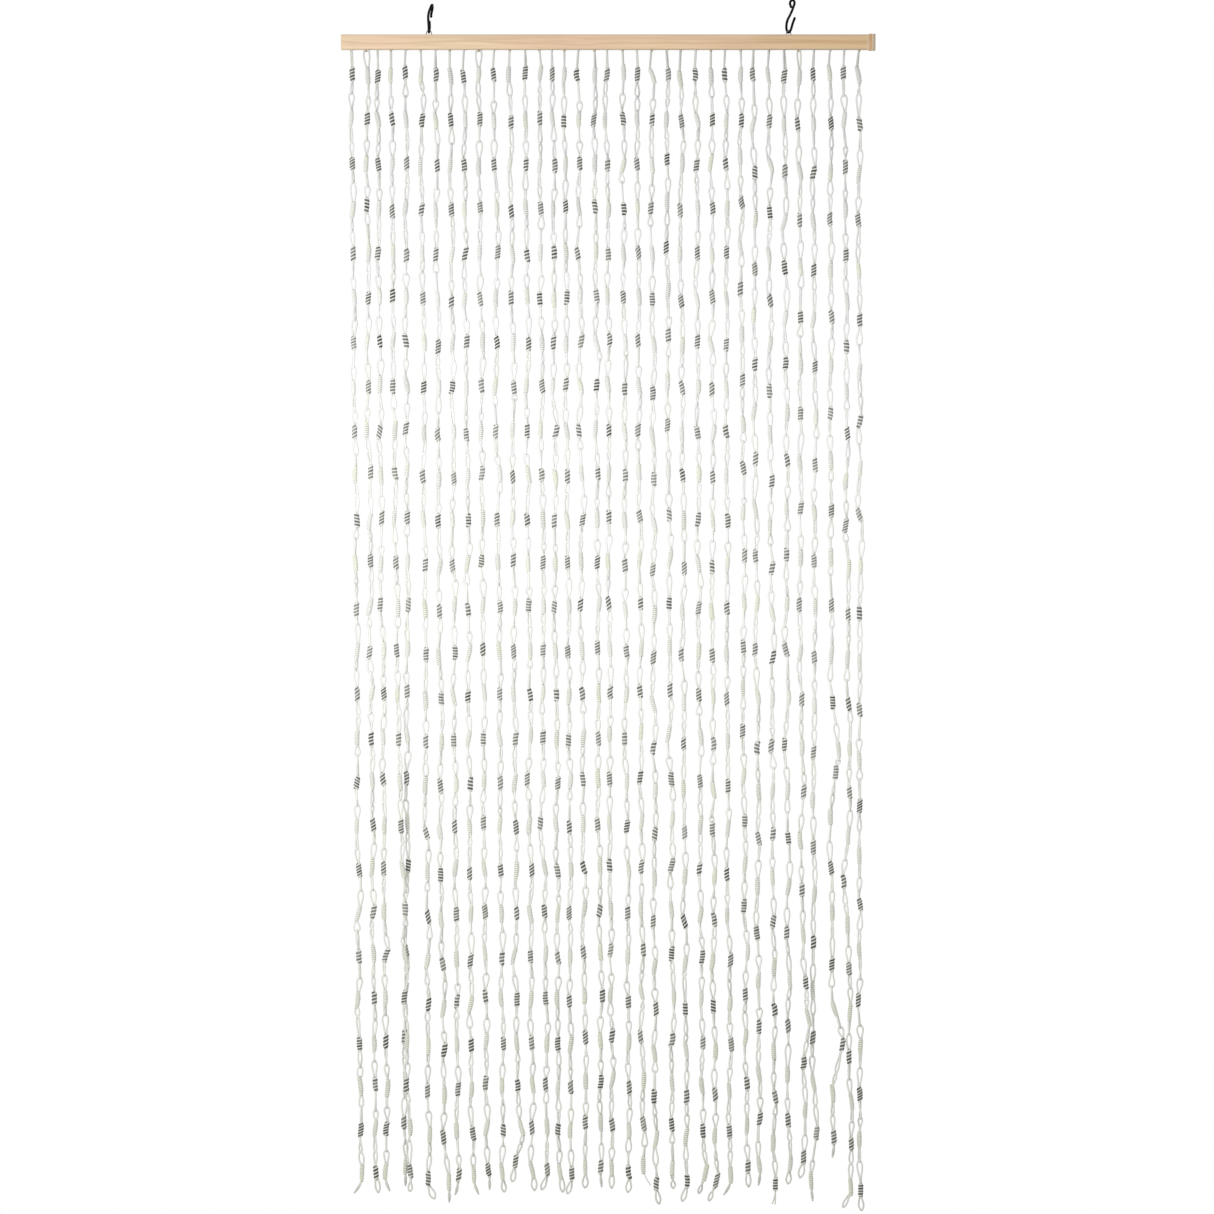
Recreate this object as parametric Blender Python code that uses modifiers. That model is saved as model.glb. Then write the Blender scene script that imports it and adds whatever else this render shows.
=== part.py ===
"""Door curtain of paper cord: a pine batten on two wire hooks, with beaded strings hanging from it.

Every string is a chain of links. A link is a loop of paper cord bound round at its middle with a
coil of the same cord, its bead, and each link hangs in the loop of the one above. The origin is
over the batten's middle, at about the height of the insides of the two hooks' upper bends: the
left one lies a few millimetres lower and the right one a few higher.
"""
import math
import random
from collections import namedtuple
from itertools import accumulate

import bmesh
import bpy
from mathutils import Vector

MM = 0.001

# Fitting gap between touching pieces
GAP = 0.3 * MM

# Batten and the block on its right end
BATTEN_LENGTH = 900 * MM
BATTEN_DEPTH = 15 * MM
BATTEN_HEIGHT = 25 * MM
BATTEN_TOP = -53 * MM
GROOVE_WIDTH = 5 * MM
GROOVE_DEPTH = 9 * MM
BLOCK_LENGTH = 12 * MM
BLOCK_PROUD = 1 * MM
BLOCK_ROUNDING = 1.2 * MM

# Wire eyes driven into the batten's top, and how many degrees each is turned from the front.
# Reach and rise are those of the wire's middle line in the crown.
EYE_WIRE = 1.6 * MM
EYE_REACH = 4.8 * MM
EYE_RISE = 7.6 * MM
EYE_LEG_DEPTH = 9 * MM
LEG_HOLE = 3.4 * MM
CROWN_STEPS = 8
EYE_TURN = {"left": 10, "right": 30}

# Hooks of round wire, one in each eye, and their places along the batten
HOOK_WIRE = 4.2 * MM
HOOK_STEPS = 2
HOOK_ACROSS = {"left": -302 * MM, "right": 304 * MM}

# Strings: the strip that holds their roots, and their beads and necks of three sides
STRIP_HEIGHT = 8 * MM
STRIP_INSET = 4 * MM
ROOT_SINK = 3 * MM
BEAD_LENGTH = 24 * MM
BEAD_WIDTH = 9.2 * MM
NECK_WIDTH = 3.2 * MM
TIP_WIDTH = 3.6 * MM

# How the strings hang. The weight below pulls the upper links longer, so a bead halfway down is
# lower than even links would put it. All strings lean to the right, less so towards the right end.
# A bead leans as its string does between SLOPE_SPAN above it and SLOPE_SPAN below it.
LINKS = 26
FEW_LINKS = 24
LONG_LINKED = (29, 31, 32, 33, 34, 36)
FIRST_DROP = 43 * MM
TAIL = 22 * MM
UPPER_PULL = 9.5 * MM
LEAN_LEFT = 16 * MM
LEAN_RIGHT = 8 * MM
LEAN_DROP = 1900 * MM
SLOPE_SPAN = 20 * MM
OWN_LEAN = {
    4: 34 * MM,
    5: -2 * MM,
    19: 8 * MM,
    22: 7 * MM,
    26: 7 * MM,
    27: 8 * MM,
    33: 0.0,
    34: 5 * MM,
    35: 11 * MM,
    36: 1 * MM,
}

# Chance scatter of the beads
JITTER_ACROSS = 1.3 * MM
JITTER_DEPTH = 0.8 * MM
JITTER_TILT = 1.1 * MM
JITTER_DROP = 2.0 * MM

BATTEN_BOTTOM = BATTEN_TOP - BATTEN_HEIGHT
BATTEN_LEFT = -BATTEN_LENGTH / 2
BATTEN_RIGHT = BATTEN_LENGTH / 2 - BLOCK_LENGTH - GAP
STRIP_TOP = BATTEN_BOTTOM + GROOVE_DEPTH - GAP
STRIP_BOTTOM = STRIP_TOP - STRIP_HEIGHT
STRIP_WIDTH = GROOVE_WIDTH - 2 * GAP
HOLE_SIDES = 4

# One row for each string, from the left, in millimetres. gap: to the string on its left, or to the
# batten's end. last: the last bead's middle under the batten. swing: how far the loose end below
# that bead is swung to the right.
String = namedtuple("String", "gap last swing")
STRINGS = [String(*row) for row in (
    (17, 1893, -13),
    (25, 1889, 3),
    (19, 1890, 8),
    (23, 1889, -2),
    (25, 1880, 0),
    (25, 1900, 11),
    (25, 1906, 0),
    (24, 1894, -5),
    (24, 1897, 8),
    (25, 1887, 0),
    (26, 1891, 3),
    (26, 1870, -4),
    (26, 1888, 2),
    (24, 1888, -10),
    (21, 1893, 3),
    (21, 1893, -8),
    (24, 1883, -1),
    (27, 1884, 2),
    (21, 1882, 0),
    (26, 1893, -3),
    (24, 1880, 12),
    (25, 1912, 5),
    (25, 1888, 2),
    (24, 1908, -8),
    (26, 1890, -9),
    (25, 1905, -11),
    (24, 1897, -12),
    (26, 1884, 1),
    (22, 1882, -3),
    (26, 1911, -3),
    (25, 1882, -2),
    (25, 1866, -6),
    (26, 1903, 2),
    (27, 1835, -3),
    (24, 1918, -13),
    (25, 1920, 2),
)]
ROOTS = [BATTEN_LEFT + place * MM for place in accumulate(string.gap for string in STRINGS)]

# One row for each place where a string is caught, crossed or doubled back, in millimetres.
# drop: its height under the batten. across and back: the shift there. reach: how far up and down
# the shift is felt. lift: how much shorter the string hangs below it.
Bend = namedtuple("Bend", "string drop across back reach lift")
BENDS = [Bend(*row) for row in (
    (4, 950, -7, 0, 600, 0),
    (4, 1600, 0, -6, 560, 0),
    (5, 1050, 3, 0, 450, 0),
    (5, 1600, 0, 6, 560, 0),
    (7, 1905, 8, 0, 40, 0),
    (10, 1890, 3, 0, 60, 0),
    (12, 1812, 6, 0, 40, 0),
    (12, 1832, 0, 0, 20, 20),
    (12, 1870, -4, 0, 30, 0),
    (13, 1250, -6, 0, 40, 0),
    (13, 1925, -5, 0, 30, 0),
    (14, 1311, -8, 0, 50, 0),
    (23, 120, 0, 0, 30, 12),
    (25, 1890, 6, 0, 40, 0),
    (28, 144, 0, 0, 30, 16),
    (31, 1190, -4, 0, 40, 0),
    (32, 1620, 8, -6, 70, 22),
    (33, 1620, 0, 6, 90, 0),
    (33, 1832, 5, 0, 35, 0),
    (33, 1905, -5, 0, 35, 0),
    (34, 1180, 10, 0, 45, 40),
    (34, 1658, 19, 0, 30, 18),
    (34, 1800, 5, 0, 30, 0),
    (34, 1865, -4, 0, 30, 0),
    (35, 1400, -9, 0, 45, 0),
)]

# Node name, first and last string on that strip
STRIPS = (
    ("strings_left", 1, 12),
    ("strings_middle", 13, 24),
    ("strings_right", 25, 36),
)

# Points that each hook's wire bends through, from the lower tip round to the upper tip, in
# millimetres from the middle of its lower bend: across to the right, back from the front, and up.
HOOK_LINE = {
    "left": (
        (1.2, -9, 18.5),
        (1.5, -5.8, 9),
        (0.8, -3.8, 2.4),
        (0, -1.2, 0),
        (0, 1.2, 0),
        (-0.5, 3.8, 2.4),
        (-0.6, 4.5, 9),
        (-1.2, 2, 20),
        (-0.8, -2.5, 30),
        (2.6, -5.8, 40),
        (5.5, -1, 46),
        (5.6, 4.4, 40),
        (3.7, 4.6, 31),
        (3.5, 4, 25),
    ),
    "right": (
        (10.5, -9, 24.5),
        (6.3, -6, 13),
        (3.5, -3.8, 3.8),
        (1, -1, 0),
        (-1, 1, 0),
        (-3, 3.3, 3.8),
        (-3.5, 3.5, 12),
        (-2, 2, 20),
        (3, -3, 30),
        (7.5, -7.8, 41),
        (9.5, -8.5, 50),
        (6, -4, 53.5),
        (2.5, 0.9, 50),
        (4.5, 1.5, 41),
    ),
}


def remove_objects():
    for item in list(bpy.data.objects):
        bpy.data.objects.remove(item, do_unlink=True)


def new_collection(name):
    collection = bpy.data.collections.new(name)
    bpy.context.scene.collection.children.link(collection)
    return collection


def new_material(name, colour, roughness, metallic=0.0):
    material = bpy.data.materials.new(name)
    material.use_nodes = True
    shader = material.node_tree.nodes["Principled BSDF"]
    shader.inputs["Base Color"].default_value = (*colour, 1.0)
    shader.inputs["Roughness"].default_value = roughness
    shader.inputs["Metallic"].default_value = metallic
    return material


def new_box(name, low, high, collection):
    """A box between two corners, with its place and size in its mesh."""
    low, high = Vector(low), Vector(high)
    bpy.ops.mesh.primitive_cube_add(size=1.0)
    item = bpy.context.object
    item.name = name
    for vertex in item.data.vertices:
        vertex.co = (low + high) / 2 + vertex.co * (high - low)
    for old in list(item.users_collection):
        old.objects.unlink(item)
    collection.objects.link(item)
    return item


def hide_cutter(item):
    item.hide_render = True
    item.display_type = "WIRE"


def add_boolean(item, other, operation):
    modifier = item.modifiers.new(operation.lower(), "BOOLEAN")
    modifier.operation = operation
    modifier.solver = "EXACT"
    modifier.object = other


def curve_to_mesh(curve, name, collection):
    """Replaces a curve object with a closed mesh of the same shape."""
    graph = bpy.context.evaluated_depsgraph_get()
    mesh = bpy.data.meshes.new_from_object(curve.evaluated_get(graph))
    work = bmesh.new()
    work.from_mesh(mesh)
    bmesh.ops.remove_doubles(work, verts=work.verts, dist=0.01 * MM)
    work.to_mesh(mesh)
    work.free()
    item = bpy.data.objects.new(name, mesh)
    item.matrix_world = curve.matrix_world
    collection.objects.link(item)
    bpy.data.objects.remove(curve, do_unlink=True)
    return item


def new_wire(name, points, thickness, collection, kind="POLY"):
    """A round wire with closed ends, as a curve object. Of kind POLY it runs straight from point
    to point, and of kind BEZIER it bends smoothly through them."""
    data = bpy.data.curves.new(name, "CURVE")
    data.dimensions = "3D"
    data.bevel_depth = thickness / 2
    data.bevel_resolution = 1
    data.resolution_u = HOOK_STEPS
    data.use_fill_caps = True
    spline = data.splines.new(kind)
    if kind == "BEZIER":
        spline.bezier_points.add(len(points) - 1)
        for spot, point in zip(spline.bezier_points, points):
            spot.co = point
            spot.handle_left_type = "AUTO"
            spot.handle_right_type = "AUTO"
    else:
        spline.points.add(len(points) - 1)
        for spot, point in zip(spline.points, points):
            spot.co = (*point, 1.0)
    item = bpy.data.objects.new(name, data)
    collection.objects.link(item)
    return item


def finish(item, material, smooth_angle=None):
    item.data.materials.clear()
    item.data.materials.append(material)
    if smooth_angle is not None:
        item.data.shade_smooth()
        item.data.set_sharp_from_angle(angle=math.radians(smooth_angle))


def add_rounding(item, width):
    modifier = item.modifiers.new("rounding", "BEVEL")
    modifier.width = width
    modifier.segments = 1
    modifier.limit_method = "ANGLE"


def eye_point(label, across, up):
    """A point in an eye's own plane, which is turned a little about its upright middle line."""
    turn = math.radians(EYE_TURN[label])
    place = Vector((HOOK_ACROSS[label], 0.0, BATTEN_TOP))
    return place + Vector((across * math.cos(turn), across * math.sin(turn), up))


def build_batten(parts, cutters, wood):
    """The bar, with a groove along its underside for the strips and holes for the eyes' legs."""
    half = BATTEN_DEPTH / 2
    batten = new_box("batten", (BATTEN_LEFT, -half, BATTEN_BOTTOM), (BATTEN_RIGHT, half, BATTEN_TOP), parts)
    groove = new_box(
        "groove_cutter",
        (BATTEN_LEFT - 1 * MM, -GROOVE_WIDTH / 2, BATTEN_BOTTOM - 1 * MM),
        (BATTEN_RIGHT + 1 * MM, GROOVE_WIDTH / 2, BATTEN_BOTTOM + GROOVE_DEPTH),
        cutters,
    )
    hide_cutter(groove)
    add_boolean(batten, groove, "DIFFERENCE")
    for label in EYE_TURN:
        for leg in (-1, 1):
            place = eye_point(label, leg * EYE_REACH, 0.0)
            bpy.ops.mesh.primitive_cylinder_add(
                vertices=HOLE_SIDES, radius=LEG_HOLE / 2, depth=2 * (EYE_LEG_DEPTH + GAP), location=place)
            hole = bpy.context.object
            hole.name = f"leg_hole_{label}_{'a' if leg < 0 else 'b'}"
            for old in list(hole.users_collection):
                old.objects.unlink(hole)
            cutters.objects.link(hole)
            hide_cutter(hole)
            add_boolean(batten, hole, "DIFFERENCE")
    finish(batten, wood)
    return batten


def build_block(parts, wood):
    """The short block that closes the right end, a little proud of the bar all round."""
    half = BATTEN_DEPTH / 2 + BLOCK_PROUD
    left = BATTEN_RIGHT + GAP
    block = new_box(
        "end_block",
        (left, -half, BATTEN_BOTTOM - BLOCK_PROUD),
        (left + BLOCK_LENGTH, half, BATTEN_TOP + BLOCK_PROUD),
        parts,
    )
    add_rounding(block, BLOCK_ROUNDING)
    finish(block, wood)
    return block


def build_eye(label, parts, steel):
    """A wire staple: two legs in the batten and a crown, half an ellipse, that the hook holds."""
    outline = [(-EYE_REACH, -EYE_LEG_DEPTH)]
    for step in range(CROWN_STEPS + 1):
        angle = math.pi * (1 - step / CROWN_STEPS)
        outline.append((EYE_REACH * math.cos(angle), EYE_RISE * math.sin(angle)))
    outline.append((EYE_REACH, -EYE_LEG_DEPTH))
    points = [eye_point(label, across, up) for across, up in outline]
    name = "eye_" + label
    eye = curve_to_mesh(new_wire(name + "_wire", points, EYE_WIRE, parts), name, parts)
    finish(eye, steel, 40)
    return eye


def build_hook(label, parts, black):
    """An S-shaped hook whose lower bend holds the eye's crown from below."""
    seat = EYE_RISE - EYE_WIRE / 2 - GAP - HOOK_WIRE / 2
    points = [eye_point(label, 0.0, seat) + Vector(point) * MM for point in HOOK_LINE[label]]
    name = "hook_" + label
    hook = curve_to_mesh(new_wire(name + "_wire", points, HOOK_WIRE, parts, "BEZIER"), name, parts)
    finish(hook, black, 40)
    return hook


def bump(drop, bend):
    return 1 / (1 + ((drop - bend.drop * MM) / (bend.reach * MM)) ** 4)


def lean(number):
    """How far a string has moved to the right near its lower end."""
    share = (number - 1) / (len(STRINGS) - 1)
    return OWN_LEAN.get(number, LEAN_LEFT + (LEAN_RIGHT - LEAN_LEFT) * share)


def hang_point(number, drop):
    """Where a string runs at a height under the batten."""
    place = Vector((ROOTS[number - 1] + lean(number) * drop / LEAN_DROP, 0.0, BATTEN_BOTTOM - drop))
    for bend in BENDS:
        if bend.string == number:
            place += Vector((bend.across, bend.back, 0.0)) * MM * bump(drop, bend)
    return place


def bead_drops(number):
    """How far under the batten each bead's middle hangs, from the top down."""
    beads = FEW_LINKS if number in LONG_LINKED else LINKS
    own_bends = [bend for bend in BENDS if bend.string == number]
    unlifted = (STRINGS[number - 1].last + sum(bend.lift for bend in own_bends)) * MM
    drops = []
    for bead in range(beads):
        share = bead / (beads - 1)
        drop = FIRST_DROP + (unlifted - FIRST_DROP) * share + UPPER_PULL * 4 * share * (1 - share)
        for bend in own_bends:
            if drop > bend.drop * MM:
                drop -= bend.lift * MM
        drops.append(drop)
    return drops


def bead_ends(number):
    """The top and bottom of each bead on a string, from its root down. A bead leans as its string
    runs there."""
    chance = random.Random(number)
    ends = []
    for drop in bead_drops(number):
        across = chance.gauss(0.0, JITTER_ACROSS)
        back = chance.gauss(0.0, JITTER_DEPTH)
        tilt = chance.gauss(0.0, JITTER_TILT)
        drop += chance.gauss(0.0, JITTER_DROP)
        middle = hang_point(number, drop) + Vector((across, back, 0.0))
        way = hang_point(number, drop + SLOPE_SPAN) - hang_point(number, drop - SLOPE_SPAN)
        half = way.normalized() * BEAD_LENGTH / 2 + Vector((tilt, 0.0, 0.0))
        ends.append((middle - half, middle + half))
    return ends


def string_rings(number):
    """The rings of one string from its root down, each as (place, width)."""
    rings = [(Vector((ROOTS[number - 1], 0.0, STRIP_BOTTOM + ROOT_SINK)), NECK_WIDTH)]
    below = None
    for top, bottom in bead_ends(number):
        if below is not None:
            rings.append(((below + top) / 2, NECK_WIDTH))
        rings.append((top, BEAD_WIDTH))
        rings.append((bottom, BEAD_WIDTH))
        below = bottom
    rings.append((below + Vector((STRINGS[number - 1].swing * MM, 0.0, -TAIL)), TIP_WIDTH))
    return rings


def section(place, width):
    """The three corners of a level section one side wide, flat at the front."""
    reach = width / math.sqrt(3)
    corners = []
    for angle in (90, 210, 330):
        turn = math.radians(angle)
        corners.append(place + Vector((reach * math.cos(turn), reach * math.sin(turn), 0.0)))
    return corners


def build_strands(name, first, last, cutters):
    """The strings of one strip, each a loft through its rings from the root down."""
    work = bmesh.new()
    for number in range(first, last + 1):
        rings = [[work.verts.new(corner) for corner in section(*ring)] for ring in string_rings(number)]
        work.faces.new(rings[0])
        for above, below in zip(rings, rings[1:]):
            for side in range(3):
                after = (side + 1) % 3
                work.faces.new((above[side], below[side], below[after], above[after]))
        work.faces.new(reversed(rings[-1]))
    mesh = bpy.data.meshes.new(name)
    work.to_mesh(mesh)
    work.free()
    strands = bpy.data.objects.new(name, mesh)
    cutters.objects.link(strands)
    hide_cutter(strands)
    return strands


def build_strings(name, first, last, parts, cutters, paper):
    """One strip in the batten's groove, with its strings fused to its underside."""
    left = BATTEN_LEFT + STRIP_INSET if first == 1 else strip_seam(first)
    right = BATTEN_RIGHT - STRIP_INSET if last == len(STRINGS) else strip_seam(last + 1) - GAP
    strip = new_box(
        name, (left, -STRIP_WIDTH / 2, STRIP_BOTTOM), (right, STRIP_WIDTH / 2, STRIP_TOP), parts)
    add_boolean(strip, build_strands(name + "_strands", first, last, cutters), "UNION")
    finish(strip, paper)
    return strip


def strip_seam(number):
    """Where two strips meet: halfway between a string and the one to its left."""
    return (ROOTS[number - 2] + ROOTS[number - 1]) / 2


def main():
    remove_objects()
    parts = new_collection("door_curtain")
    cutters = new_collection("cutters")
    pine = new_material("pine", (0.62, 0.45, 0.28), 0.6)
    steel = new_material("bright_steel", (0.62, 0.6, 0.57), 0.35, 1.0)
    black = new_material("black_enamel", (0.012, 0.012, 0.014), 0.4)
    paper = new_material("paper_cord", (0.66, 0.66, 0.58), 0.85)

    build_batten(parts, cutters, pine)
    build_block(parts, pine)
    for label in EYE_TURN:
        build_eye(label, parts, steel)
        build_hook(label, parts, black)
    for name, first, last in STRIPS:
        build_strings(name, first, last, parts, cutters, paper)


main()
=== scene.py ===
"""Looks of the paper cord door curtain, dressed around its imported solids.

A pine batten hangs on two black wire hooks. Thirty-six strings hang from it, each a chain of links
of paper cord. A link is a loop of cord bound at its middle with a coil, its bead, and striped and
plain beads take turns down every string.
"""
import math
import random
from collections import namedtuple
from itertools import accumulate

import bpy
import numpy as np
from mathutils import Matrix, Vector


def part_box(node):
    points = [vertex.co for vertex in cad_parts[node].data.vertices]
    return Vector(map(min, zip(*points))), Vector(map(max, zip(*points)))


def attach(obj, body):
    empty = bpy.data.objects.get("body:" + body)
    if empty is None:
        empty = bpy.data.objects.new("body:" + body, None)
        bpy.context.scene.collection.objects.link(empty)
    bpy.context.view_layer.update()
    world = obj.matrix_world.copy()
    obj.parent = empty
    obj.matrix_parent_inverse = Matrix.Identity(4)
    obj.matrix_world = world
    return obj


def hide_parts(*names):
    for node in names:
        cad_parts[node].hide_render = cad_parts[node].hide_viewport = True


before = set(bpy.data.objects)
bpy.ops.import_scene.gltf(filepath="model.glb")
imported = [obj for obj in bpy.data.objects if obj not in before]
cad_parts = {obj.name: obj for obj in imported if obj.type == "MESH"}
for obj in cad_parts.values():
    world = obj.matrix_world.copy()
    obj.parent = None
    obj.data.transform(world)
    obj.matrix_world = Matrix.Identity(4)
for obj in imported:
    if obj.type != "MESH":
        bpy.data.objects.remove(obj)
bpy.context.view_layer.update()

MM = 0.001

# Batten and the block on its right end, as in the solids
GAP = 0.3 * MM
BATTEN_LENGTH = 900 * MM
BATTEN_DEPTH = 15 * MM
BATTEN_HEIGHT = 25 * MM
BATTEN_TOP = -53 * MM
GROOVE_WIDTH = 5 * MM
GROOVE_DEPTH = 9 * MM
BLOCK_LENGTH = 12 * MM
BATTEN_BOTTOM = BATTEN_TOP - BATTEN_HEIGHT
BATTEN_MIDDLE = (BATTEN_TOP + BATTEN_BOTTOM) / 2
BATTEN_LEFT = -BATTEN_LENGTH / 2
BATTEN_RIGHT = BATTEN_LENGTH / 2 - BLOCK_LENGTH - GAP

# Points nearer to each other than this count as one
NEAR = 0.01 * MM

# Softened edges, the angle in degrees above which an edge looks sharp, and the line cut round the
# block near its outer end
BATTEN_ROUNDING = 0.9 * MM
BLOCK_ROUNDING = 0.35 * MM
TAPE_ROUNDING = 0.4 * MM
BOX_SHARP = 40
CUT_PLACE = BATTEN_LENGTH / 2 - 4.6 * MM
CUT_WIDTH = 0.9 * MM
CUT_DEPTH = 0.6 * MM

# Colours of the pine: the bar's own, at its left end and at its right, darker there as painted
# shade away from the light on the left, and then the block's
PINE_LIT_LEFT = (0.72, 0.56, 0.385)
PINE_SHADED_RIGHT = (0.625, 0.42, 0.235)
PINE_REDDER = (0.76, 0.50, 0.37)
PINE_GRAIN = (0.42, 0.27, 0.13)
PINE_RINGS = (0.84, 0.66, 0.42)
PINE_LINE = (0.50, 0.34, 0.18)
PINE_EDGE = (0.44, 0.36, 0.26)
BLOCK_PINE = (0.60, 0.37, 0.19)
BLOCK_GRAIN = (0.32, 0.2, 0.1)

# The dark line along the bar: how far under the middle it lies, how much it waves, how far from it
# the dark starts to fade and is gone, and how dark it is
LINE_BELOW = 1.0 * MM
LINE_WAVE = 22 * MM
LINE_CORE = 0.3 * MM
LINE_REACH = 2.6 * MM
LINE_SHARE = 0.42

# The bar's greyer upper and lower edges: how far inside the edge the grey starts and is full, how
# grey it is there, and how many times that at the right end
EDGE_START = 2.6 * MM
EDGE_FULL = 0.4 * MM
EDGE_SHARE = 0.5
END_GREYER = 1.6

# A painted highlight along the joint of bar and block and along the cut, pale wood where their rims
# catch the light: its colour, how much of it shows there, and how far it reaches
PINE_HIGHLIGHT = (0.86, 0.76, 0.60)
HIGHLIGHT_SHARE = 0.65
HIGHLIGHT_JOINT = 2.0 * MM
HIGHLIGHT_CUT = 1.1 * MM

# Wire eyes and hooks, as in the solids
EYE_WIRE = 1.6 * MM
EYE_REACH = 4.8 * MM
EYE_RISE = 7.6 * MM
EYE_LEG_DEPTH = 9 * MM
EYE_TURN = {"left": 10, "right": 30}
HOOK_WIRE = 4.2 * MM
HOOK_ACROSS = {"left": -302 * MM, "right": 304 * MM}

# Meshes of the wires. A wire narrows at its tips, and TIP_REACH and TIP_WIDTH are shares of its
# thickness. WIRE_SHARP is in degrees.
CROWN_STEPS = 12
WIRE_SIDES = 12
WIRE_STEPS = 5
TIP_REACH = 0.35
TIP_WIDTH = 0.55
WIRE_SHARP = 60

# Colours of the wires, each as found and as worn
ENAMEL = ((0.004, 0.004, 0.005), (0.02, 0.02, 0.019))
STEEL = ((0.50, 0.46, 0.40), (0.32, 0.28, 0.23))

# Strings, as in the solids
STRIP_HEIGHT = 8 * MM
STRIP_INSET = 4 * MM
STRIP_TOP = BATTEN_BOTTOM + GROOVE_DEPTH - GAP
STRIP_BOTTOM = STRIP_TOP - STRIP_HEIGHT
STRIP_WIDTH = GROOVE_WIDTH - 2 * GAP
ROOT_SINK = 3 * MM
BEAD_LENGTH = 24 * MM

# How the strings hang. The weight below pulls the upper links longer, so a bead halfway down is
# lower than even links would put it. All strings lean to the right, less so towards the right end.
# A bead leans as its string does between SLOPE_SPAN above it and SLOPE_SPAN below it.
LINKS = 26
FEW_LINKS = 24
LONG_LINKED = (29, 31, 32, 33, 34, 36)
FIRST_DROP = 43 * MM
TAIL = 22 * MM
UPPER_PULL = 9.5 * MM
LEAN_LEFT = 16 * MM
LEAN_RIGHT = 8 * MM
LEAN_DROP = 1900 * MM
SLOPE_SPAN = 20 * MM

# Strings that lean in a way of their own, and how far to the right, in millimetres
OWN_LEAN = {4: 34, 5: -2, 19: 8, 22: 7, 26: 7, 27: 8, 33: 0, 34: 5, 35: 11, 36: 1}

# Chance scatter of the beads, and what is added to a string's number to seed the looks' own chance
JITTER_ACROSS = 1.3 * MM
JITTER_DEPTH = 0.8 * MM
JITTER_TILT = 1.1 * MM
JITTER_DROP = 2.0 * MM
LOOKS_SEED = 1000

# Cord of the loops: each leg starts inside its bead, a little apart from the other. A loop is never
# wider than LOOP_WIDEST, a share of its length.
CORD = 3.2 * MM
LOOP_WIDTH = 7.6 * MM
LOOP_SPREAD = 0.8 * MM
LOOP_WIDEST = 0.9
LEG_APART = 1.4 * MM
LEG_INSIDE = 4 * MM
LOOP_SWELL = 0.75
LOOP_STEPS = 7
LOOP_SIDES = 5

# The cord's lay: how many plies it is twisted from, and how far one turn of them runs along it
PLIES = 2
LAY_LENGTH = 1.5 * CORD

# Where two links meet, as a share of the way from bead to bead, its chance shifts, and the angles
# in degrees by which the upper loop may be turned from the front
JOIN_SHARE = 0.47
JOIN_SPREAD = 0.08
JOIN_ACROSS = 1.1 * MM
JOIN_BACK = 0.4 * MM
JOIN_ANGLES = (90, 90, 90, 80, -80, 60, -60, 0, 45)
ANGLE_SPREAD = 12

# Chance in the loops of the joins, the roots and the lower ends. Turns and twists are in radians,
# and a tone goes from 0, pale, to 1, dull.
LINK_OPENINGS = (1.7, 2.8)
LINK_TONES = (0.0, 0.33)
LOOP_TWIST = 0.6
ROOT_OPENING = 1.8
ROOT_TURN = 0.35
# The roots' duller tones are painted shade, where their two legs overlap edge-on.
ROOT_SHADED_TONES = (0.35, 0.7)
END_OPENINGS = (1.3, 2.0)
END_WIDTHS = (0.85, 1.1)
END_TURN = 0.3
END_TWIST = 0.8
END_TONES = (0.3, 0.8)

# Root loops that hang wide open, and their widths. The rest are closed, leg beside leg.
WIDE_ROOTS = {2: 9 * MM, 10: 9 * MM, 32: 7 * MM}
ROOT_WIDTHS = (0.8 * MM, 2.6 * MM)

# Knots round the roots: the turns' height and reach, and their tones. Every other one is brown.
Knot = namedtuple("Knot", "height reach tones")
BROWN_KNOT = Knot(4.2 * MM, 1.5 * MM, (0.0, 0.25))
OLIVE_KNOT = Knot(5.0 * MM, 1.0 * MM, (0.6, 1.0))
KNOT_BELOW = 1.4 * MM
KNOT_TURNS = 2.6
KNOT_THICK = 0.95 * MM
KNOT_SLANT = 0.2
KNOT_STEPS = 9

# Loose ends that aren't loops. apart: how far each thread lies to the right, in millimetres, at its
# start if the threads are wound and at its tip if they part. thickness: a share of the loops' cord.
LooseEnd = namedtuple("LooseEnd", "apart thickness wound")
LOOSE_ENDS = {
    "tail": LooseEnd((1.1, -1.1), 1.0, True),
    "thread": LooseEnd((0.0,), 0.5, True),
    "fork": LooseEnd((2.6, -2.6), 0.75, False),
}
LOOSE_STEPS = 8
LOOSE_WIND = 1.6 * math.pi
LOOSE_BEND = 1.7
LOOSE_TIP = 0.8
LOOSE_TONES = (0.8, 1.0)

# Coil of a striped bead: a dark strand and a light one wound side by side. Lengths and turns of the
# strands are shares of the bead's own.
STRIPED_LENGTH = 23.5 * MM
STRIPED_PITCH = 5.2 * MM
DARK_LENGTH = 0.9
DARK_REACH = 3.45 * MM
DARK_THICK = 1.45 * MM
DARK_FLATNESS = 1.1
LIGHT_LENGTH = 1.13
LIGHT_TURNS = 1.25
LIGHT_REACH = 3.2 * MM
LIGHT_THICK = 1.35 * MM
LIGHT_FLATNESS = 1.2
TURN_STEPS = 10
THIN_SIDES = 4

# Chance in a striped bead: its length, pitch and width as shares, how far its middle stands out, its
# slant and that slant's spread, how often it is wound the other way, and the light strand's tones
STRIPED_LENGTHS = (0.92, 1.08)
STRIPED_PITCHES = (0.86, 1.12)
STRIPED_WIDTHS = (0.93, 1.07)
STRIPED_BULGE = 0.6 * MM
STRIPED_SLANT = (0.10, 0.14)
OTHER_HAND = 0.12
LIGHT_TONES = (0.0, 0.5)

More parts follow.
